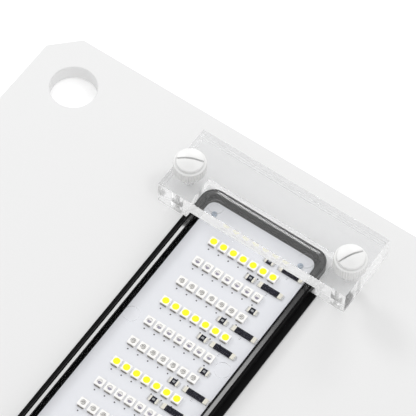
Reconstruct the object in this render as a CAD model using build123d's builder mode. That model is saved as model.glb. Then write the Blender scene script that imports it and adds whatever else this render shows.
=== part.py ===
"""Flat LED aquarium lamp, held to a white panel by clear acrylic brackets and thumbscrews.

Origin at the bottom centre of the panel. +X runs across the lamp, +Y along it towards its
plain end, and +Z up, out of the lit face. The supply cable enters at the -Y end. Millimetres.
"""

import os

from build123d import *

os.makedirs("parts", exist_ok=True)

# Panel that carries the lamp
PANEL_WIDTH = 320.0
PANEL_LENGTH = 325.0
PANEL_THICK = 10.0
PANEL_CHAMFER = 14.0
PANEL_ROUND = 2.5
CORNER_HOLE_R = 12.7
CORNER_HOLE_INSET = 27.5

# Lamp housing, a shallow black tray
LAMP_WIDTH = 74.4
LAMP_LENGTH = 245.0
LAMP_HEIGHT = 6.35
LAMP_CORNER_R = 7.5
RIM_DROP = 0.6
RIM_WALL = 1.15
LEDGE_WIDTH = 1.65
FLOOR_THICK = 0.8
FLANGE_WIDTH = 3.5
FLANGE_THICK = 0.9
FLANGE_END_GAP = 0.2

# Stack inside the tray
PAD_THICK = 0.4
BOARD_WIDTH = 64.4
BOARD_LENGTH = 234.0
BOARD_THICK = 1.2
BOARD_CORNER_R = 4.5
BOARD_SCREW_X = 26.2
BOARD_SCREW_Y = 110.3
BOARD_SCREW_R = 0.95
BOARD_SCREW_HEAD_R = 1.5
BOARD_SCREW_HEAD = 0.7
BOARD_SCREW_BREAK = 0.23
SOCKET_R = 0.75
SOCKET_DEPTH = 0.56
BEZEL_THICK = 0.65
BEZEL_WIDTH = 2.15
BEZEL_FLAT = 0.45
LENS_THICK = 1.5
LENS_GAP = 0.1
LENS_RING_X = 27.4
LENS_RING_YS = (39.6, 113.6)
LENS_RING_R = 4.45
LENS_RING_WIDTH = 0.4
LENS_RING_DEPTH = 0.25
SEAL_THICK = 0.8

# LEDs: rows across the board that repeat white, violet, blue
LED_COLUMNS = 7
LED_PITCH = 6.0
LED_ROWS = 15
LED_ROW_PITCH = 14.0
LED_BODY = 4.7
LED_HEIGHT = 1.5
LED_CORNER_R = 0.25
CUP_DEPTH = 0.9
CUP_FLOOR_SHARE = 0.86
WHITE_WINDOW_R = 1.85
CLEAR_WINDOW_R = 1.55
WINDOW_BELOW_TOP = 0.04
CHIP_THICK = 0.15
CHIP_R = 1.05
VIOLET_CHIP_CUT = 1.575
BLUE_CHIP_HOLE_R = 0.65
BLUE_CHIP_NOTCH = 0.735
BLUE_CHIP_CORE = 0.525
CONTACT_WIDTH = 3.4
CONTACT_DEPTH = 0.35
CONTACT_HEIGHT = 0.7
VIA_OFFSET = 4.6
VIA_R = 0.4
VIA_HEIGHT = 0.05

# Resistors, placed from the white LED row above them
REPEAT = 3 * LED_ROW_PITCH
REACH_PAST_LEDS = 9.3
SHORT_PLACES = ((8.85, -6.6), (20.2, -21.6), (11.25, 7.2))
LONG_PLACES = ((20.9, -6.6), (24.2, 7.2))
RESISTOR_HEIGHT = 0.9
RESISTOR_DEPTH = 3.1
SHORT_BODY = 3.2
SHORT_CAP = 0.7
LONG_BODY = 9.8
LONG_CAP = 1.9
SOLDER_LENGTH = 1.0
SOLDER_WIDTH = 2.8
SOLDER_HEIGHT = 0.45

# Clear brackets, one over each end of the lamp
BRACKET_WIDTH = 113.6
BRACKET_FRONT_Y = 104.0
BRACKET_DEPTH = 40.4
SHEET_THICK = 9.5
POCKET_GAP = 2.0
EDGE_BREAK = 0.35

# Thumbscrews, M6 by 20
SCREW_X = 48.6
SCREW_Y = 120.2
THREAD_R = 2.95
THREAD_DEPTH = 0.45
THREAD_PITCH = 1.0
SCREW_LENGTH = 20.0
TAPPED_R = 3.0
TAPPED_DEPTH = 6.0
CLEARANCE_R = 3.3
HEAD_R = 8.65
HEAD_HEIGHT = 7.0
HEAD_ROUND = 1.0
CAP_R = 7.1
CAP_HEIGHT = 2.1
CAP_ROUND = 0.7
CAP_DOME = 1.6
CAP_GROOVE = 0.4
KNURLS = 38
KNURL_R = 0.55
KNURL_CENTRE_R = 8.8
SLOT_WIDTH = 1.1
SLOT_DEPTH = 3.0

# Cable entry at the -Y end
GLAND_WIDTH = 16.0
GLAND_LENGTH = 10.0
GLAND_BORE_R = 2.0
GLAND_ROUND = 2.0
SLOT_CLEARANCE = 1.0
LEAD_R = 0.45
LEAD_X = 1.6
LEAD_END_Y = -113.5
LEAD_ABOVE_BOARD = 0.05
WINDOW_WIDTH = 6.0
WINDOW_LENGTH = 6.6
TERMINAL_LENGTH = 3.4
TERMINAL_WIDTH = 2.2
TERMINAL_HEIGHT = 0.9

# Levels and extents that follow
LAMP_Z = PANEL_THICK
PAD_Z = LAMP_Z + FLOOR_THICK
BOARD_Z = PAD_Z + PAD_THICK
BOARD_TOP = BOARD_Z + BOARD_THICK
LAMP_TOP = LAMP_Z + LAMP_HEIGHT
RIM_HEIGHT = LAMP_HEIGHT - RIM_DROP
LENS_TOP = LAMP_TOP - BEZEL_THICK
LENS_Z = LENS_TOP - LENS_THICK
LEDGE_Z = LENS_Z - SEAL_THICK
LED_TOP = BOARD_TOP + LED_HEIGHT
CUP_Z = LED_TOP - CUP_DEPTH
SHEET_TOP = LAMP_TOP + SHEET_THICK
RECESS_WIDTH = LAMP_WIDTH - 2 * RIM_WALL
RECESS_LENGTH = LAMP_LENGTH - 2 * RIM_WALL
RECESS_R = LAMP_CORNER_R - RIM_WALL
CAVITY_WIDTH = RECESS_WIDTH - 2 * LEDGE_WIDTH
CAVITY_LENGTH = RECESS_LENGTH - 2 * LEDGE_WIDTH
CAVITY_R = RECESS_R - LEDGE_WIDTH
LAMP_END_Y = LAMP_LENGTH / 2
POCKET_WIDTH = LAMP_WIDTH + 2 * POCKET_GAP
POCKET_END_Y = LAMP_END_Y + POCKET_GAP
BRACKET_MID_Y = BRACKET_FRONT_Y + BRACKET_DEPTH / 2
BRACKET_BACK_Y = BRACKET_FRONT_Y + BRACKET_DEPTH
FLANGE_LENGTH = 2 * (BRACKET_FRONT_Y - FLANGE_END_GAP)
CORNER_HOLE_X = PANEL_WIDTH / 2 - CORNER_HOLE_INSET
CORNER_HOLE_Y = PANEL_LENGTH / 2 - CORNER_HOLE_INSET

LIFT = (Align.CENTER, Align.CENTER, Align.MIN)


def led_places(kind):
    """Centres of the LEDs of one kind: 0 white, 1 violet, 2 blue."""
    first_x = -LED_PITCH * (LED_COLUMNS - 1) / 2
    first_y = LED_ROW_PITCH * (LED_ROWS - 1) / 2
    return [
        (first_x + column * LED_PITCH, first_y - row * LED_ROW_PITCH)
        for row in range(kind, LED_ROWS, 3)
        for column in range(LED_COLUMNS)
    ]


def repeated(places):
    """Places given from a white row, repeated down the board where they fit on it."""
    first_y = LED_ROW_PITCH * (LED_ROWS - 1) / 2
    found = []
    for x, dy in places:
        for step in range(-1, LED_ROWS // 3 + 1):
            y = first_y - step * REPEAT + dy
            if abs(y) < first_y + REACH_PAST_LEDS:
                found.append((x, y))
    return found


ALL_LEDS = led_places(0) + led_places(1) + led_places(2)


def four_corners(x, y):
    return [(x, y), (-x, y), (x, -y), (-x, -y)]


def at_height(places, z):
    return [(x, y, z) for x, y in places]


# --- Panel ---------------------------------------------------------------------------------

with BuildPart() as base_panel:
    with BuildSketch():
        Rectangle(PANEL_WIDTH, PANEL_LENGTH)
        chamfer(vertices(), PANEL_CHAMFER)
        fillet(vertices(), PANEL_ROUND)
        with Locations(*four_corners(CORNER_HOLE_X, CORNER_HOLE_Y)):
            Circle(CORNER_HOLE_R, mode=Mode.SUBTRACT)
    extrude(amount=PANEL_THICK)
    chamfer(base_panel.faces().filter_by(Axis.Z).edges(), EDGE_BREAK)
    with Locations(*at_height(four_corners(SCREW_X, SCREW_Y), PANEL_THICK)):
        Hole(TAPPED_R, TAPPED_DEPTH)

# --- Lamp housing --------------------------------------------------------------------------

with BuildPart() as lamp_housing:
    with BuildSketch(Plane.XY.offset(LAMP_Z)):
        RectangleRounded(LAMP_WIDTH, LAMP_LENGTH, LAMP_CORNER_R)
    extrude(amount=RIM_HEIGHT)
    fillet(lamp_housing.faces().sort_by(Axis.Z)[-1].edges(), EDGE_BREAK)
    with BuildSketch(Plane.XY.offset(LAMP_Z)):
        Rectangle(LAMP_WIDTH + 2 * FLANGE_WIDTH, FLANGE_LENGTH)
    extrude(amount=FLANGE_THICK)
    with BuildSketch(Plane.XY.offset(PAD_Z)):
        RectangleRounded(CAVITY_WIDTH, CAVITY_LENGTH, CAVITY_R)
    extrude(amount=LAMP_HEIGHT, mode=Mode.SUBTRACT)
    with BuildSketch(Plane.XY.offset(LEDGE_Z)):
        RectangleRounded(RECESS_WIDTH, RECESS_LENGTH, RECESS_R)
    extrude(amount=LAMP_HEIGHT, mode=Mode.SUBTRACT)
    with BuildSketch(Plane.XY.offset(PAD_Z)):
        with Locations((0, -LAMP_END_Y)):
            Rectangle(WINDOW_WIDTH, WINDOW_LENGTH)
    extrude(amount=LEDGE_Z - PAD_Z, mode=Mode.SUBTRACT)
    with Locations(*at_height(four_corners(BOARD_SCREW_X, BOARD_SCREW_Y), PAD_Z)):
        Hole(BOARD_SCREW_R, FLOOR_THICK / 2)

with BuildPart() as cable_gland:
    with BuildSketch(Plane.XY.offset(LAMP_Z)):
        with Locations((0, -LAMP_END_Y - GLAND_LENGTH / 2)):
            Rectangle(GLAND_WIDTH, GLAND_LENGTH)
        fillet(vertices().group_by(Axis.Y)[0], GLAND_ROUND)
    extrude(amount=LAMP_HEIGHT)
    with BuildSketch(Plane.XZ.offset(LAMP_END_Y)):
        with Locations((0, LAMP_Z + LAMP_HEIGHT / 2)):
            Circle(GLAND_BORE_R)
    extrude(amount=GLAND_LENGTH, mode=Mode.SUBTRACT)

# --- Board stack ---------------------------------------------------------------------------

with BuildPart() as thermal_pad:
    with BuildSketch(Plane.XY.offset(PAD_Z)):
        RectangleRounded(BOARD_WIDTH, BOARD_LENGTH, BOARD_CORNER_R)
        with Locations(*four_corners(BOARD_SCREW_X, BOARD_SCREW_Y)):
            Circle(BOARD_SCREW_R, mode=Mode.SUBTRACT)
    extrude(amount=PAD_THICK)

with BuildPart() as circuit_board:
    with BuildSketch(Plane.XY.offset(BOARD_Z)):
        RectangleRounded(BOARD_WIDTH, BOARD_LENGTH, BOARD_CORNER_R)
        with Locations(*four_corners(BOARD_SCREW_X, BOARD_SCREW_Y)):
            Circle(BOARD_SCREW_R, mode=Mode.SUBTRACT)
    extrude(amount=BOARD_THICK)

with BuildPart() as board_screws:
    with BuildSketch(Plane.XY.offset(PAD_Z - FLOOR_THICK / 2)):
        with Locations(*four_corners(BOARD_SCREW_X, BOARD_SCREW_Y)):
            Circle(BOARD_SCREW_R)
    extrude(amount=BOARD_TOP - PAD_Z + FLOOR_THICK / 2)
    with BuildSketch(Plane.XY.offset(BOARD_TOP)):
        with Locations(*four_corners(BOARD_SCREW_X, BOARD_SCREW_Y)):
            Circle(BOARD_SCREW_HEAD_R)
    extrude(amount=BOARD_SCREW_HEAD)
    chamfer(board_screws.faces().sort_by(Axis.Z)[-4:].edges(), BOARD_SCREW_BREAK)
    with BuildSketch(Plane.XY.offset(BOARD_TOP + BOARD_SCREW_HEAD)):
        with Locations(*four_corners(BOARD_SCREW_X, BOARD_SCREW_Y)):
            RegularPolygon(SOCKET_R, 6)
    extrude(amount=-SOCKET_DEPTH, mode=Mode.SUBTRACT)

# --- LEDs ----------------------------------------------------------------------------------


def led_bodies(places, window_r):
    """Moulded packages, each with a tapered reflector cup open at its top."""
    with BuildPart() as bodies:
        with BuildSketch(Plane.XY.offset(BOARD_TOP)):
            with Locations(*places):
                RectangleRounded(LED_BODY, LED_BODY, LED_CORNER_R)
        extrude(amount=LED_HEIGHT)
        with Locations(*at_height(places, CUP_Z)):
            Cone(window_r * CUP_FLOOR_SHARE, window_r, CUP_DEPTH, align=LIFT, mode=Mode.SUBTRACT)
    return bodies


def led_windows(places, window_r, bottom):
    """Resin that fills each cup from a height above its floor to just below its brim."""
    floor_r = window_r * CUP_FLOOR_SHARE
    slope = (window_r - floor_r) / CUP_DEPTH
    height = CUP_DEPTH - WINDOW_BELOW_TOP - bottom
    low_r = floor_r + slope * bottom
    with BuildPart() as windows:
        with Locations(*at_height(places, CUP_Z + bottom)):
            Cone(low_r, low_r + slope * height, height, align=LIFT)
    return windows


white_led_bodies = led_bodies(led_places(0), WHITE_WINDOW_R)
violet_led_bodies = led_bodies(led_places(1), CLEAR_WINDOW_R)
blue_led_bodies = led_bodies(led_places(2), CLEAR_WINDOW_R)
white_led_phosphors = led_windows(led_places(0), WHITE_WINDOW_R, 0.0)
violet_led_windows = led_windows(led_places(1), CLEAR_WINDOW_R, CHIP_THICK)
blue_led_windows = led_windows(led_places(2), CLEAR_WINDOW_R, CHIP_THICK)

with BuildPart() as violet_led_chips:
    with BuildSketch(Plane.XY.offset(CUP_Z)):
        with Locations(*led_places(1)):
            Circle(CHIP_R)
        with Locations(*[(x, y + CHIP_R) for x, y in led_places(1)]):
            Rectangle(2 * CHIP_R, VIOLET_CHIP_CUT, mode=Mode.SUBTRACT)
    extrude(amount=CHIP_THICK)

with BuildPart() as blue_led_chips:
    with BuildSketch(Plane.XY.offset(CUP_Z)):
        with Locations(*led_places(2)):
            Circle(CHIP_R)
            Circle(BLUE_CHIP_HOLE_R, mode=Mode.SUBTRACT)
        with Locations(*[(x - CHIP_R, y - CHIP_R / 2) for x, y in led_places(2)]):
            Rectangle(CHIP_R, BLUE_CHIP_NOTCH, mode=Mode.SUBTRACT)
        with Locations(*led_places(2)):
            Rectangle(BLUE_CHIP_CORE, BLUE_CHIP_CORE)
    extrude(amount=CHIP_THICK)

with BuildPart() as led_contacts:
    with BuildSketch(Plane.XY.offset(BOARD_TOP)):
        for side in (-1, 1):
            reach = side * (LED_BODY + CONTACT_DEPTH) / 2
            with Locations(*[(x, y + reach) for x, y in ALL_LEDS]):
                Rectangle(CONTACT_WIDTH, CONTACT_DEPTH)
    extrude(amount=CONTACT_HEIGHT)

with BuildPart() as test_points:
    with BuildSketch(Plane.XY.offset(BOARD_TOP)):
        with Locations(*[(x, y - VIA_OFFSET) for x, y in ALL_LEDS]):
            Circle(VIA_R)
    extrude(amount=VIA_HEIGHT)

# --- Resistors and their solder ------------------------------------------------------------


def resistor_bodies(places, length):
    with BuildPart() as bodies:
        with BuildSketch(Plane.XY.offset(BOARD_TOP)):
            with Locations(*places):
                Rectangle(length, RESISTOR_DEPTH)
        extrude(amount=RESISTOR_HEIGHT)
    return bodies


def resistor_caps(places, body, cap):
    """Metal end caps, one on each end of every resistor."""
    with BuildPart() as caps:
        with BuildSketch(Plane.XY.offset(BOARD_TOP)):
            for side in (-1, 1):
                reach = side * (body + cap) / 2
                with Locations(*[(x + reach, y) for x, y in places]):
                    Rectangle(cap, RESISTOR_DEPTH)
        extrude(amount=RESISTOR_HEIGHT)
    return caps


SHORTS = repeated(SHORT_PLACES)
LONGS = repeated(LONG_PLACES)
short_resistor_bodies = resistor_bodies(SHORTS, SHORT_BODY)
short_resistor_caps = resistor_caps(SHORTS, SHORT_BODY, SHORT_CAP)
long_resistor_bodies = resistor_bodies(LONGS, LONG_BODY)
long_resistor_caps = resistor_caps(LONGS, LONG_BODY, LONG_CAP)

with BuildPart() as solder_joints:
    with BuildSketch(Plane.XY.offset(BOARD_TOP)):
        for places, half in (
            (SHORTS, SHORT_BODY / 2 + SHORT_CAP),
            (LONGS, LONG_BODY / 2 + LONG_CAP),
        ):
            for side in (-1, 1):
                reach = side * (half + SOLDER_LENGTH / 2)
                with Locations(*[(x + reach, y) for x, y in places]):
                    Rectangle(SOLDER_LENGTH, SOLDER_WIDTH)
    extrude(amount=SOLDER_HEIGHT)

# --- Supply leads inside the housing -------------------------------------------------------


def supply_lead(x):
    """Straight insulated wire from the cable entry to its terminal on the board."""
    start = LAMP_END_Y - LENS_GAP
    with BuildPart() as lead:
        with BuildSketch(Plane.XZ.offset(start)):
            with Locations((x, BOARD_TOP + LEAD_R + LEAD_ABOVE_BOARD)):
                Circle(LEAD_R)
        extrude(amount=-(start + LEAD_END_Y))
    return lead


supply_lead_positive = supply_lead(LEAD_X)
supply_lead_negative = supply_lead(-LEAD_X)

with BuildPart() as lead_terminals:
    with BuildSketch(Plane.XY.offset(BOARD_TOP)):
        with Locations(*[(side * LEAD_X, LEAD_END_Y + TERMINAL_LENGTH / 2) for side in (-1, 1)]):
            Rectangle(TERMINAL_WIDTH, TERMINAL_LENGTH)
    extrude(amount=TERMINAL_HEIGHT)

# --- Lens, its seal and its bezel ----------------------------------------------------------

with BuildPart() as lens_seal:
    with BuildSketch(Plane.XY.offset(LEDGE_Z)):
        RectangleRounded(RECESS_WIDTH - 2 * LENS_GAP, RECESS_LENGTH - 2 * LENS_GAP, RECESS_R)
        RectangleRounded(CAVITY_WIDTH, CAVITY_LENGTH, CAVITY_R, mode=Mode.SUBTRACT)
    extrude(amount=SEAL_THICK)

with BuildPart() as lens_cover:
    with BuildSketch(Plane.XY.offset(LENS_Z)):
        RectangleRounded(RECESS_WIDTH - 2 * LENS_GAP, RECESS_LENGTH - 2 * LENS_GAP, RECESS_R)
    extrude(amount=LENS_THICK)
    fillet(lens_cover.faces().sort_by(Axis.Z)[-1].edges(), EDGE_BREAK)
    with BuildSketch(Plane.XY.offset(LENS_Z)):
        for ring_y in LENS_RING_YS:
            with Locations(*four_corners(LENS_RING_X, ring_y)):
                Circle(LENS_RING_R)
                Circle(LENS_RING_R - LENS_RING_WIDTH, mode=Mode.SUBTRACT)
    extrude(amount=LENS_RING_DEPTH, mode=Mode.SUBTRACT)

with BuildPart() as lens_bezel:
    with BuildSketch(Plane.XY.offset(LENS_TOP)):
        RectangleRounded(RECESS_WIDTH, RECESS_LENGTH, RECESS_R)
    extrude(amount=BEZEL_THICK)
    top_face = lens_bezel.faces().sort_by(Axis.Z)[-1]
    chamfer(top_face.edges(), BEZEL_WIDTH - BEZEL_FLAT, RIM_DROP, reference=top_face)
    with BuildSketch(Plane.XY.offset(LENS_TOP)):
        RectangleRounded(
            RECESS_WIDTH - 2 * BEZEL_WIDTH, RECESS_LENGTH - 2 * BEZEL_WIDTH, RECESS_R - BEZEL_WIDTH
        )
    extrude(amount=BEZEL_THICK, mode=Mode.SUBTRACT)

# --- Brackets ------------------------------------------------------------------------------


def bracket_sheet(side):
    """Top sheet of a bracket; side is 1 at the plain end and -1 at the cable end."""
    with BuildPart() as sheet:
        with BuildSketch(Plane.XY.offset(LAMP_TOP)):
            with Locations((0, side * BRACKET_MID_Y)):
                Rectangle(BRACKET_WIDTH, BRACKET_DEPTH)
        extrude(amount=SHEET_THICK)
        chamfer(sheet.faces().sort_by(Axis.Z)[-1].edges(), EDGE_BREAK)
        with Locations(*[(x, side * SCREW_Y, SHEET_TOP) for x in (-SCREW_X, SCREW_X)]):
            Hole(CLEARANCE_R, SHEET_THICK)
    return sheet


def bracket_spacer(side, slot_width):
    """Spacer with a pocket for the lamp's end, cut in two where a cable slot runs through."""
    with BuildPart() as spacer:
        with BuildSketch(Plane.XY.offset(LAMP_Z)):
            with Locations((0, side * BRACKET_MID_Y)):
                Rectangle(BRACKET_WIDTH, BRACKET_DEPTH)
            with Locations((0, side * POCKET_END_Y / 2)):
                Rectangle(POCKET_WIDTH, POCKET_END_Y, mode=Mode.SUBTRACT)
            if slot_width:
                with Locations((0, side * BRACKET_BACK_Y)):
                    Rectangle(slot_width, BRACKET_DEPTH, mode=Mode.SUBTRACT)
            with Locations((SCREW_X, side * SCREW_Y), (-SCREW_X, side * SCREW_Y)):
                Circle(CLEARANCE_R, mode=Mode.SUBTRACT)
        extrude(amount=LAMP_HEIGHT)
    return spacer


far_bracket_sheet = bracket_sheet(1)
far_bracket_spacer = bracket_spacer(1, 0)
near_bracket_sheet = bracket_sheet(-1)
near_spacer_pair = bracket_spacer(-1, GLAND_WIDTH + 2 * SLOT_CLEARANCE)

with BuildPart() as near_spacer_left:
    add(near_spacer_pair.solids().sort_by(Axis.X)[0])

with BuildPart() as near_spacer_right:
    add(near_spacer_pair.solids().sort_by(Axis.X)[-1])

# --- Thumbscrews ---------------------------------------------------------------------------


def thumbscrew(x, y, slot_angle):
    """Knurled and slotted thumbscrew in one piece, its head standing on the bracket."""
    axis_place = Plane(origin=(x, y, SHEET_TOP), x_dir=(1, 0, 0), z_dir=(0, -1, 0))
    turns = int(SCREW_LENGTH / THREAD_PITCH)
    thread = [(0, -SCREW_LENGTH)]
    for turn in range(turns, 0, -1):
        thread.append((THREAD_R - THREAD_DEPTH, -turn * THREAD_PITCH))
        thread.append((THREAD_R, -(turn - 0.5) * THREAD_PITCH))
    thread.append((THREAD_R - THREAD_DEPTH, 0))
    shoulder = HEAD_HEIGHT - HEAD_ROUND
    wall_top = HEAD_HEIGHT + CAP_HEIGHT - CAP_ROUND
    brim = HEAD_HEIGHT + CAP_HEIGHT
    crown = brim + CAP_DOME
    with BuildPart() as screw:
        with BuildSketch(axis_place):
            with BuildLine():
                Polyline(*thread, (HEAD_R - EDGE_BREAK, 0), (HEAD_R, EDGE_BREAK))
                Line((HEAD_R, EDGE_BREAK), (HEAD_R, shoulder))
                RadiusArc((HEAD_R, shoulder), (HEAD_R - HEAD_ROUND, HEAD_HEIGHT), -HEAD_ROUND)
                Polyline(
                    (HEAD_R - HEAD_ROUND, HEAD_HEIGHT),
                    (CAP_R - CAP_GROOVE, HEAD_HEIGHT),
                    (CAP_R - CAP_GROOVE, HEAD_HEIGHT + CAP_GROOVE),
                    (CAP_R, HEAD_HEIGHT + CAP_GROOVE),
                    (CAP_R, wall_top),
                )
                Spline(
                    (CAP_R, wall_top),
                    (CAP_R - CAP_ROUND, brim),
                    (0, crown),
                    tangents=((0, 1), (-1, 0)),
                )
                Line((0, crown), (0, -SCREW_LENGTH))
            make_face()
        revolve(axis=Axis((x, y, 0), (0, 0, 1)))
        with BuildSketch(Plane.XY.offset(SHEET_TOP)):
            with Locations((x, y)):
                with PolarLocations(KNURL_CENTRE_R, KNURLS):
                    Circle(KNURL_R)
        extrude(amount=HEAD_HEIGHT, mode=Mode.SUBTRACT)
        with BuildSketch(Plane.XY.offset(SHEET_TOP + crown)):
            with Locations(Location((x, y), slot_angle)):
                Rectangle(2 * HEAD_R, SLOT_WIDTH)
        extrude(amount=-SLOT_DEPTH, mode=Mode.SUBTRACT)
    return screw


thumbscrew_far_left = thumbscrew(-SCREW_X, SCREW_Y, 26.6)
thumbscrew_far_right = thumbscrew(SCREW_X, SCREW_Y, 61.6)
thumbscrew_near_left = thumbscrew(-SCREW_X, -SCREW_Y, 105.0)
thumbscrew_near_right = thumbscrew(SCREW_X, -SCREW_Y, 12.0)

# --- Export --------------------------------------------------------------------------------

PIECES = {
    "base_panel": base_panel,
    "lamp_housing": lamp_housing,
    "cable_gland": cable_gland,
    "thermal_pad": thermal_pad,
    "circuit_board": circuit_board,
    "board_screws": board_screws,
    "white_led_bodies": white_led_bodies,
    "white_led_phosphors": white_led_phosphors,
    "violet_led_bodies": violet_led_bodies,
    "violet_led_windows": violet_led_windows,
    "violet_led_chips": violet_led_chips,
    "blue_led_bodies": blue_led_bodies,
    "blue_led_windows": blue_led_windows,
    "blue_led_chips": blue_led_chips,
    "led_contacts": led_contacts,
    "test_points": test_points,
    "short_resistor_bodies": short_resistor_bodies,
    "short_resistor_caps": short_resistor_caps,
    "long_resistor_bodies": long_resistor_bodies,
    "long_resistor_caps": long_resistor_caps,
    "solder_joints": solder_joints,
    "supply_lead_positive": supply_lead_positive,
    "supply_lead_negative": supply_lead_negative,
    "lead_terminals": lead_terminals,
    "lens_seal": lens_seal,
    "lens_cover": lens_cover,
    "lens_bezel": lens_bezel,
    "far_bracket_sheet": far_bracket_sheet,
    "far_bracket_spacer": far_bracket_spacer,
    "near_bracket_sheet": near_bracket_sheet,
    "near_spacer_left": near_spacer_left,
    "near_spacer_right": near_spacer_right,
    "thumbscrew_far_left": thumbscrew_far_left,
    "thumbscrew_far_right": thumbscrew_far_right,
    "thumbscrew_near_left": thumbscrew_near_left,
    "thumbscrew_near_right": thumbscrew_near_right,
}

for name, piece in PIECES.items():
    piece.part.label = name
    export_step(piece.part, f"parts/{name}.step")
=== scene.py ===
"""LED aquarium light: materials, clear parts, small details, a white studio and the camera."""

import math

import bmesh
import bpy
from mathutils import Matrix, Vector


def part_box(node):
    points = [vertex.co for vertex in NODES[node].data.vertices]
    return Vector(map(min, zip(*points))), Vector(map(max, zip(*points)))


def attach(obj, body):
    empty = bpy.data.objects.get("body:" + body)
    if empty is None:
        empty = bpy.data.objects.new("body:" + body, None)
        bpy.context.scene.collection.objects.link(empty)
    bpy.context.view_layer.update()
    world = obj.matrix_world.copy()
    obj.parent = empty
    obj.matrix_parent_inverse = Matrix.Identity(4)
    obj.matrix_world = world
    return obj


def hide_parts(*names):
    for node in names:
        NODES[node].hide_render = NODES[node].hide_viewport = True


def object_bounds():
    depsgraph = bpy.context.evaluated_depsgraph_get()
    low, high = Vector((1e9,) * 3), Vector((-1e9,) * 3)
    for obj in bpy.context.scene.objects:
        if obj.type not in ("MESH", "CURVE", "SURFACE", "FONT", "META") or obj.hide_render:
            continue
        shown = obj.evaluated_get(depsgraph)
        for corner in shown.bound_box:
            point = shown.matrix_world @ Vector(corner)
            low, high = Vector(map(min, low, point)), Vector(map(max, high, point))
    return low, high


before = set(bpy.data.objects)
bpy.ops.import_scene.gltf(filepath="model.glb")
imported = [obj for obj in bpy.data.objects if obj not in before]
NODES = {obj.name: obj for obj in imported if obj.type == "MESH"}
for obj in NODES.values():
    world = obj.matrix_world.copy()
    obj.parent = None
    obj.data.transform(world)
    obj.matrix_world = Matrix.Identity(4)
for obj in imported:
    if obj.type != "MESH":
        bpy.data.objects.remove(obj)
CAD_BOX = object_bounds()

# Camera, in metres, millimetres and degrees
AZIMUTH = 32.25
ELEVATION = 58.4
ROLL = 2.84
AIM = Vector((-0.0331, 0.1149, 0.010))
DISTANCE = 1.434
LENS_MM = 243.4
SENSOR_MM = 36.0
CLIP = (0.05, 30.0)

# Studio: place in metres, size in metres and radiance of each softbox
WORLD_STRENGTH = 0.88
LEFT_STRIP = ((-1.585, 0.80, 1.01), (0.5, 0.35), 14.0)
RIGHT_STRIP = ((0.776, 0.68, 1.72), (0.36, 0.36), 9.0)
BACK_STRIP = ((-0.52, 1.80, 0.78), (0.6, 0.25), 10.0)
LAMP_MIDDLE = Vector((0, 0, 0.016))
FLOOR_SIZE = 12.0
FLOOR_DROP = 0.0005

# Clear parts: distances in metres, angles in degrees
AIR_GAP = 0.00003
EDGE_REACH = 0.00006
POLISHED_EDGE = 0.0002
SOFTENED_CORNER = 50.0
FLAT_ENOUGH = 0.5
WELD = 0.000001
SAME_DIRECTION = 0.99  # cosine between two normals that count as one
UPRIGHT = 0.5  # a face is upright when its normal's Z is below this
POLISHED_SLOT, SAWN_SLOT = 0, 1
MIRROR_BOUNCES = 1.5  # a ray reflected more often is let out of the clear parts

# Printed marks on the resistors and the board, in metres
PRINT_HEIGHT = 0.00002
PRINT_EDGE = 0.000008
PATCH = (0.0014, 0.0012)
BAND = (0.00018, 0.0029)
BAND_X = 0.0015
INK_HEIGHT = 0.00001
INK_EDGE = 0.000003
INK_LINE = 0.00015
MARK_HALF = 0.0005
MARK_SHIFT = (0.0004, 0.0016)

# Socket numbers of the colour mix node
MIX_FACTOR, MIX_A, MIX_B, MIX_RESULT = 0, 6, 7, 2

# --- Materials -----------------------------------------------------------------------------


def shaded(shade, factor):
    """Colour made lighter or darker, with full alpha."""
    return (*[min(1.0, channel * factor) for channel in shade], 1.0)


def material(
    name, shade, roughness, scale=300.0, spread=0.04, rough_spread=0.08, bump=0.0, **sockets
):
    """Principled material whose colour, gloss and surface vary with a fine noise."""
    made = bpy.data.materials.new(name)
    made.use_nodes = True
    nodes, links = made.node_tree.nodes, made.node_tree.links
    shader = nodes["Principled BSDF"]
    place = nodes.new("ShaderNodeTexCoord")
    noise = nodes.new("ShaderNodeTexNoise")
    noise.inputs["Scale"].default_value = scale
    noise.inputs["Detail"].default_value = 4.0
    links.new(place.outputs["Object"], noise.inputs["Vector"])
    mix = nodes.new("ShaderNodeMix")
    mix.data_type = "RGBA"
    mix.inputs[MIX_A].default_value = shaded(shade, 1 - spread)
    mix.inputs[MIX_B].default_value = shaded(shade, 1 + spread)
    links.new(noise.outputs["Fac"], mix.inputs[MIX_FACTOR])
    links.new(mix.outputs[MIX_RESULT], shader.inputs["Base Color"])
    gloss = nodes.new("ShaderNodeMapRange")
    gloss.inputs["To Min"].default_value = max(0.0, roughness - rough_spread)
    gloss.inputs["To Max"].default_value = min(1.0, roughness + rough_spread)
    links.new(noise.outputs["Fac"], gloss.inputs["Value"])
    links.new(gloss.outputs["Result"], shader.inputs["Roughness"])
    if bump:
        relief = nodes.new("ShaderNodeBump")
        relief.inputs["Strength"].default_value = 1.0
        relief.inputs["Distance"].default_value = bump
        links.new(noise.outputs["Fac"], relief.inputs["Height"])
        links.new(relief.outputs["Normal"], shader.inputs["Normal"])
    for socket, value in sockets.items():
        shader.inputs[socket.replace("_", " ")].default_value = value
    return made


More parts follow.
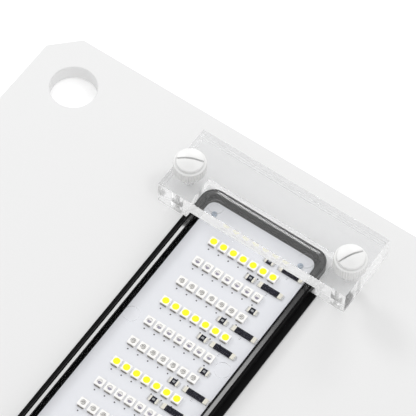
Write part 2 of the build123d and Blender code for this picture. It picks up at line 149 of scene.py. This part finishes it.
def lamps_pass(made, tint):
    """Lets lamps and diffuse light straight through a clear material, and frees trapped rays."""
    nodes, links = made.node_tree.nodes, made.node_tree.links
    rays = nodes.new("ShaderNodeLightPath")
    trapped = nodes.new("ShaderNodeMath")
    trapped.operation = "GREATER_THAN"
    trapped.inputs[1].default_value = MIRROR_BOUNCES
    links.new(rays.outputs["Glossy Depth"], trapped.inputs[0])
    lit = nodes.new("ShaderNodeMath")
    lit.operation = "MAXIMUM"
    links.new(rays.outputs["Is Shadow Ray"], lit.inputs[0])
    links.new(rays.outputs["Is Diffuse Ray"], lit.inputs[1])
    either = nodes.new("ShaderNodeMath")
    either.operation = "MAXIMUM"
    links.new(lit.outputs[0], either.inputs[0])
    links.new(trapped.outputs[0], either.inputs[1])
    through = nodes.new("ShaderNodeBsdfTransparent")
    through.inputs["Color"].default_value = (tint, tint, tint, 1.0)
    mix = nodes.new("ShaderNodeMixShader")
    links.new(either.outputs[0], mix.inputs["Fac"])
    links.new(nodes["Principled BSDF"].outputs[0], mix.inputs[1])
    links.new(through.outputs[0], mix.inputs[2])
    links.new(mix.outputs[0], nodes["Material Output"].inputs["Surface"])


def darker_above(made, height, shade):
    """Gives a material another colour above a height; used here as painted shade that darkens a
    rim's top.
    """
    nodes, links = made.node_tree.nodes, made.node_tree.links
    shader = nodes["Principled BSDF"]
    below = shader.inputs["Base Color"].links[0].from_socket
    place = nodes.new("ShaderNodeTexCoord")
    split = nodes.new("ShaderNodeSeparateXYZ")
    links.new(place.outputs["Object"], split.inputs[0])
    step = nodes.new("ShaderNodeMath")
    step.operation = "GREATER_THAN"
    step.inputs[1].default_value = height
    links.new(split.outputs["Z"], step.inputs[0])
    mix = nodes.new("ShaderNodeMix")
    mix.data_type = "RGBA"
    links.new(step.outputs[0], mix.inputs[MIX_FACTOR])
    links.new(below, mix.inputs[MIX_A])
    mix.inputs[MIX_B].default_value = (*shade, 1.0)
    links.new(mix.outputs[MIX_RESULT], shader.inputs["Base Color"])


def paint(node, made):
    """Gives a CAD node a better material in every slot."""
    mesh = NODES[node].data
    if not mesh.materials:
        mesh.materials.append(made)
    for index in range(len(mesh.materials)):
        mesh.materials[index] = made


DULL_MIRROR = (0.1, 0.1, 0.1, 1.0)
FAINT_MIRROR = (0.02, 0.02, 0.02, 1.0)
BLUISH_MIRROR = (0.4, 0.4, 0.5, 1.0)
# Painted shade: the top band of the housing rim gets a darker black than the rest of the housing
RIM_SHADE_DEPTH = 0.0004
RIM_PAINTED_SHADE = (0.002, 0.002, 0.002)

PANEL = material("white_pvc", (0.78, 0.78, 0.78), 0.45, scale=900, spread=0.01, bump=0.00001)
BLACK = material(
    "black_anodised_painted_rim_shade", (0.005, 0.005, 0.0052), 0.36, scale=1800, spread=0.25, bump=0.000008,
    Specular_Tint=DULL_MIRROR,
)
BEZEL = material("black_gloss", (0.003, 0.003, 0.003), 0.12, scale=2500, rough_spread=0.06)
RUBBER = material("black_rubber", (0.004, 0.004, 0.004), 0.4, Specular_Tint=DULL_MIRROR)
PAD = material("thermal_pad", (0.5, 0.52, 0.55), 0.8)
BOARD = material(
    "white_solder_mask", (0.755, 0.765, 0.80), 0.35, scale=1500, spread=0.012, bump=0.000004
)
STEEL = material("screw_steel", (0.38, 0.44, 0.52), 0.35, Metallic=1.0)
PACKAGE = material("led_package", (0.93, 0.92, 0.90), 0.4, scale=2500, spread=0.02)
# The yellow is the phosphor's own colour; its emission is a painted glow that brightens it, as
# the LEDs give no light
PHOSPHOR_PAINTED_GLOW = material(
    "yellow_phosphor_painted_glow", (1.0, 0.9, 0.0), 0.4, scale=6000, spread=0.02,
    Emission_Color=(1.0, 0.9, 0.0, 1.0), Emission_Strength=0.12,
)
RESIN = material(
    "clear_resin", (1.0, 1.0, 1.0), 0.05, spread=0.0, rough_spread=0.03,
    Transmission_Weight=1.0, IOR=1.41,
)
VIOLET = material("violet_chip", (0.34, 0.32, 0.40), 0.3, scale=4000, spread=0.3)
BLUE = material("blue_chip", (0.42, 0.41, 0.39), 0.3, scale=4000, spread=0.3)
TIN = material("tinned_contact", (0.34, 0.32, 0.30), 0.4, scale=3000, Metallic=1.0)
TEST_POINT = material("test_point", (0.12, 0.12, 0.13), 0.5, Metallic=0.6)
COATED = material(
    "resistor_coat", (0.006, 0.006, 0.010), 0.5, scale=900, spread=0.3, rough_spread=0.03,
    Specular_Tint=BLUISH_MIRROR,
)
CAP = material("resistor_cap", (0.82, 0.79, 0.70), 0.3, scale=3000, spread=0.1, Metallic=0.7)
SOLDER = material(
    "solder", (0.6, 0.6, 0.6), 0.3, scale=2500, spread=0.4, bump=0.00006, Metallic=0.85
)
RED_WIRE = material("red_insulation", (0.6, 0.02, 0.015), 0.4)
BLACK_WIRE = material("black_insulation", (0.015, 0.015, 0.015), 0.4)
LENS = material(
    "clear_lens", (1.0, 1.0, 1.0), 0.0, rough_spread=0.0, spread=0.0,
    Transmission_Weight=1.0, IOR=1.49, Specular_Tint=FAINT_MIRROR,
)
ACRYLIC = material(
    "clear_acrylic", (0.96, 0.962, 0.965), 0.0, rough_spread=0.0, spread=0.0,
    Transmission_Weight=0.985, IOR=1.49,
)
SAWN = material(
    "sawn_acrylic", (0.95, 0.953, 0.957), 0.1, scale=700, rough_spread=0.04, spread=0.01,
    Transmission_Weight=0.96, IOR=1.49,
)
NYLON = material("white_nylon", (0.81, 0.81, 0.805), 0.42, scale=1200, spread=0.02, bump=0.00001)

RIM_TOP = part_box("lamp_housing")[1].z
# Painted shade on the rim's top band, a darker black above this height
darker_above(BLACK, RIM_TOP - RIM_SHADE_DEPTH, RIM_PAINTED_SHADE)
lamps_pass(LENS, 1.0)
lamps_pass(ACRYLIC, 0.99)
lamps_pass(SAWN, 0.98)
lamps_pass(RESIN, 1.0)

FINISHES = {
    "base_panel": PANEL,
    "lamp_housing": BLACK,
    "cable_gland": RUBBER,
    "thermal_pad": PAD,
    "circuit_board": BOARD,
    "board_screws": STEEL,
    "white_led_bodies": PACKAGE,
    "violet_led_bodies": PACKAGE,
    "blue_led_bodies": PACKAGE,
    "white_led_phosphors": PHOSPHOR_PAINTED_GLOW,
    "violet_led_windows": RESIN,
    "blue_led_windows": RESIN,
    "violet_led_chips": VIOLET,
    "blue_led_chips": BLUE,
    "led_contacts": TIN,
    "test_points": TEST_POINT,
    "short_resistor_bodies": COATED,
    "long_resistor_bodies": COATED,
    "short_resistor_caps": CAP,
    "long_resistor_caps": CAP,
    "solder_joints": SOLDER,
    "lead_terminals": SOLDER,
    "supply_lead_positive": RED_WIRE,
    "supply_lead_negative": BLACK_WIRE,
    "lens_seal": RUBBER,
    "lens_cover": LENS,
    "lens_bezel": BEZEL,
    "far_bracket_sheet": ACRYLIC,
    "far_bracket_spacer": ACRYLIC,
    "near_bracket_sheet": ACRYLIC,
    "near_spacer_left": ACRYLIC,
    "near_spacer_right": ACRYLIC,
    "thumbscrew_far_left": NYLON,
    "thumbscrew_far_right": NYLON,
    "thumbscrew_near_left": NYLON,
    "thumbscrew_near_right": NYLON,
}

for node, made in FINISHES.items():
    paint(node, made)


# --- Clear parts ---------------------------------------------------------------------------


def welded(node):
    """Mesh of a node with the points that coincide joined."""
    shape = bmesh.new()
    shape.from_mesh(NODES[node].data)
    bmesh.ops.remove_doubles(shape, verts=shape.verts, dist=WELD)
    return shape


def placed(name, shape, materials):
    """Object made from a shape, in the scene."""
    mesh = bpy.data.meshes.new(name)
    shape.to_mesh(mesh)
    shape.free()
    for made in materials:
        mesh.materials.append(made)
    piece = bpy.data.objects.new(name, mesh)
    bpy.context.scene.collection.objects.link(piece)
    return piece


def polished(node):
    """Clear copy of a node, a hair inside it so light passes, with softened edges.

    Its outer upright faces are sawn and the rest are polished.
    """
    shape = welded(node)
    bmesh.ops.dissolve_limit(
        shape, angle_limit=math.radians(FLAT_ENOUGH), verts=shape.verts, edges=shape.edges
    )
    shape.normal_update()
    steps = []
    for vert in shape.verts:
        normals = []
        for face in vert.link_faces:
            if all(face.normal.dot(other) < SAME_DIRECTION for other in normals):
                normals.append(face.normal.copy())
        steps.append(-sum(normals, Vector()) * AIR_GAP)
    for vert, step in zip(shape.verts, steps):
        vert.co += step
    corner = math.radians(SOFTENED_CORNER)
    sharp = [seam for seam in shape.edges if seam.calc_face_angle(0.0) > corner]
    bmesh.ops.bevel(
        shape, geom=sharp, offset=POLISHED_EDGE, segments=2, profile=0.6,
        affect="EDGES", clamp_overlap=True,
    )
    low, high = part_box(node)
    for face in shape.faces:
        middle = face.calc_center_median()
        outer = min(
            min(abs(middle[axis] - low[axis]), abs(middle[axis] - high[axis])) for axis in (0, 1)
        )
        sawn = outer < EDGE_REACH and abs(face.normal.z) < UPRIGHT
        face.material_index = SAWN_SLOT if sawn else POLISHED_SLOT
        face.smooth = True
    piece = placed(f"{node}_clear", shape, (ACRYLIC, SAWN))
    weighted = piece.modifiers.new("flat_faces", "WEIGHTED_NORMAL")
    weighted.keep_sharp = True
    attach(piece, "root")
    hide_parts(node)


for bracket_part in (
    "far_bracket_sheet", "far_bracket_spacer",
    "near_bracket_sheet", "near_spacer_left", "near_spacer_right",
):
    polished(bracket_part)


# --- Resistor and board details ------------------------------------------------------------


def islands(node):
    """Lowest and highest corner of each separate lump in a node, from -Y to +Y."""
    shape = welded(node)
    unseen, boxes = set(shape.verts), []
    while unseen:
        todo, lump = [unseen.pop()], []
        while todo:
            vert = todo.pop()
            lump.append(vert.co.copy())
            for seam in vert.link_edges:
                other = seam.other_vert(vert)
                if other in unseen:
                    unseen.remove(other)
                    todo.append(other)
        low = Vector([min(point[axis] for point in lump) for axis in range(3)])
        high = Vector([max(point[axis] for point in lump) for axis in range(3)])
        boxes.append((low, high))
    shape.free()
    return sorted(boxes, key=lambda box: (round(box[0].y, 5), round(box[0].x, 5)))


def slabs(name, boxes, made, edge):
    """One piece of many small blocks with rounded edges."""
    shape = bmesh.new()
    for low, high in boxes:
        grown = bmesh.ops.create_cube(shape, size=1.0)["verts"]
        middle, span = (low + high) / 2, high - low
        for vert in grown:
            vert.co = middle + Vector([vert.co[axis] * span[axis] for axis in range(3)])
    bmesh.ops.bevel(
        shape, geom=list(shape.edges), offset=edge, segments=2, profile=0.5, affect="EDGES"
    )
    piece = placed(name, shape, (made,))
    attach(piece, "root")


def on_top(box, size, shift=0.0):
    """Print of a width and depth centred on the top of a box, shifted along X."""
    low, high = box
    width, depth = size
    middle = (low + high) / 2
    return (
        Vector((middle.x + shift - width / 2, middle.y - depth / 2, high.z)),
        Vector((middle.x + shift + width / 2, middle.y + depth / 2, high.z + PRINT_HEIGHT)),
    )


def two_lines(box, board_top):
    """Two thin lines of ink on the board, below a resistor."""
    low, high = box
    x = (low.x + high.x) / 2 - MARK_SHIFT[0]
    y = low.y - MARK_SHIFT[1]
    top = board_top + INK_HEIGHT
    return [
        (
            Vector((x - MARK_HALF, y - MARK_HALF, board_top)),
            Vector((x + MARK_HALF, y - MARK_HALF + INK_LINE, top)),
        ),
        (
            Vector((x - MARK_HALF, y + MARK_HALF - INK_LINE, board_top)),
            Vector((x + MARK_HALF, y + MARK_HALF, top)),
        ),
    ]


def small_details():
    """Grey patch and end bands on each short resistor, and ink beside each long one."""
    shorts, longs = islands("short_resistor_bodies"), islands("long_resistor_bodies")
    grey = material("resistor_mark", (0.30, 0.31, 0.32), 0.5, scale=3000, spread=0.3)
    patches = [on_top(box, PATCH) for box in shorts]
    slabs("resistor_marks", patches, grey, PRINT_EDGE)
    bands = [on_top(box, BAND, side * BAND_X) for box in shorts for side in (-1, 1)]
    slabs("resistor_bands", bands, PACKAGE, PRINT_EDGE)
    board_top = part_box("circuit_board")[1].z
    ink = material("board_ink", (0.10, 0.10, 0.11), 0.6, scale=5000, spread=0.3)
    marks = [line for box in longs for line in two_lines(box, board_top)]
    slabs("board_marks", marks, ink, INK_EDGE)


small_details()


# --- Studio --------------------------------------------------------------------------------


def floor():
    """White sweep under the object, wide enough for every view."""
    level = CAD_BOX[0].z - FLOOR_DROP
    bpy.ops.mesh.primitive_plane_add(size=FLOOR_SIZE, location=(0, 0, level))
    sheet = bpy.context.object
    sheet.name = "studio_floor"
    sheet.data.materials.append(material(
        "studio_white", (0.97, 0.97, 0.97), 0.9, spread=0.0,
        Emission_Color=(1.0, 1.0, 1.0, 1.0), Emission_Strength=0.2,
    ))


def softbox(name, place, size, radiance):
    """Soft light of even brightness, turned towards the lamp."""
    light = bpy.data.lights.new(name, "AREA")
    light.shape = "RECTANGLE"
    light.size, light.size_y = size
    light.energy = radiance * math.pi * size[0] * size[1]
    made = bpy.data.objects.new(name, light)
    bpy.context.scene.collection.objects.link(made)
    made.location = place
    made.rotation_euler = (LAMP_MIDDLE - made.location).to_track_quat("-Z", "Y").to_euler()


def studio():
    """White surround, with a softbox on each side for the bezel and one behind the bracket."""
    world = bpy.data.worlds.new("studio_world")
    world.use_nodes = True
    background = world.node_tree.nodes["Background"]
    background.inputs["Color"].default_value = (1.0, 1.0, 1.0, 1.0)
    background.inputs["Strength"].default_value = WORLD_STRENGTH
    scene = bpy.context.scene
    scene.world = world
    scene.view_settings.view_transform = "Standard"
    softbox("left_strip", *LEFT_STRIP)
    softbox("right_strip", *RIGHT_STRIP)
    softbox("back_strip", *BACK_STRIP)


def camera():
    """Long lens, tilted a little, that looks at the lamp's far end."""
    lens = bpy.data.cameras.new("camera")
    lens.lens = LENS_MM
    lens.sensor_width = SENSOR_MM
    lens.clip_start, lens.clip_end = CLIP
    made = bpy.data.objects.new("camera", lens)
    bpy.context.scene.collection.objects.link(made)
    turn, tilt = math.radians(AZIMUTH), math.radians(ELEVATION)
    back = Vector((
        math.sin(turn) * math.cos(tilt),
        -math.cos(turn) * math.cos(tilt),
        math.sin(tilt),
    ))
    upright = (-back).to_track_quat("-Z", "Y").to_matrix().to_4x4()
    place = Matrix.Translation(AIM + back * DISTANCE)
    made.matrix_world = place @ upright @ Matrix.Rotation(math.radians(ROLL), 4, "Z")
    bpy.context.scene.camera = made


floor()
studio()
camera()
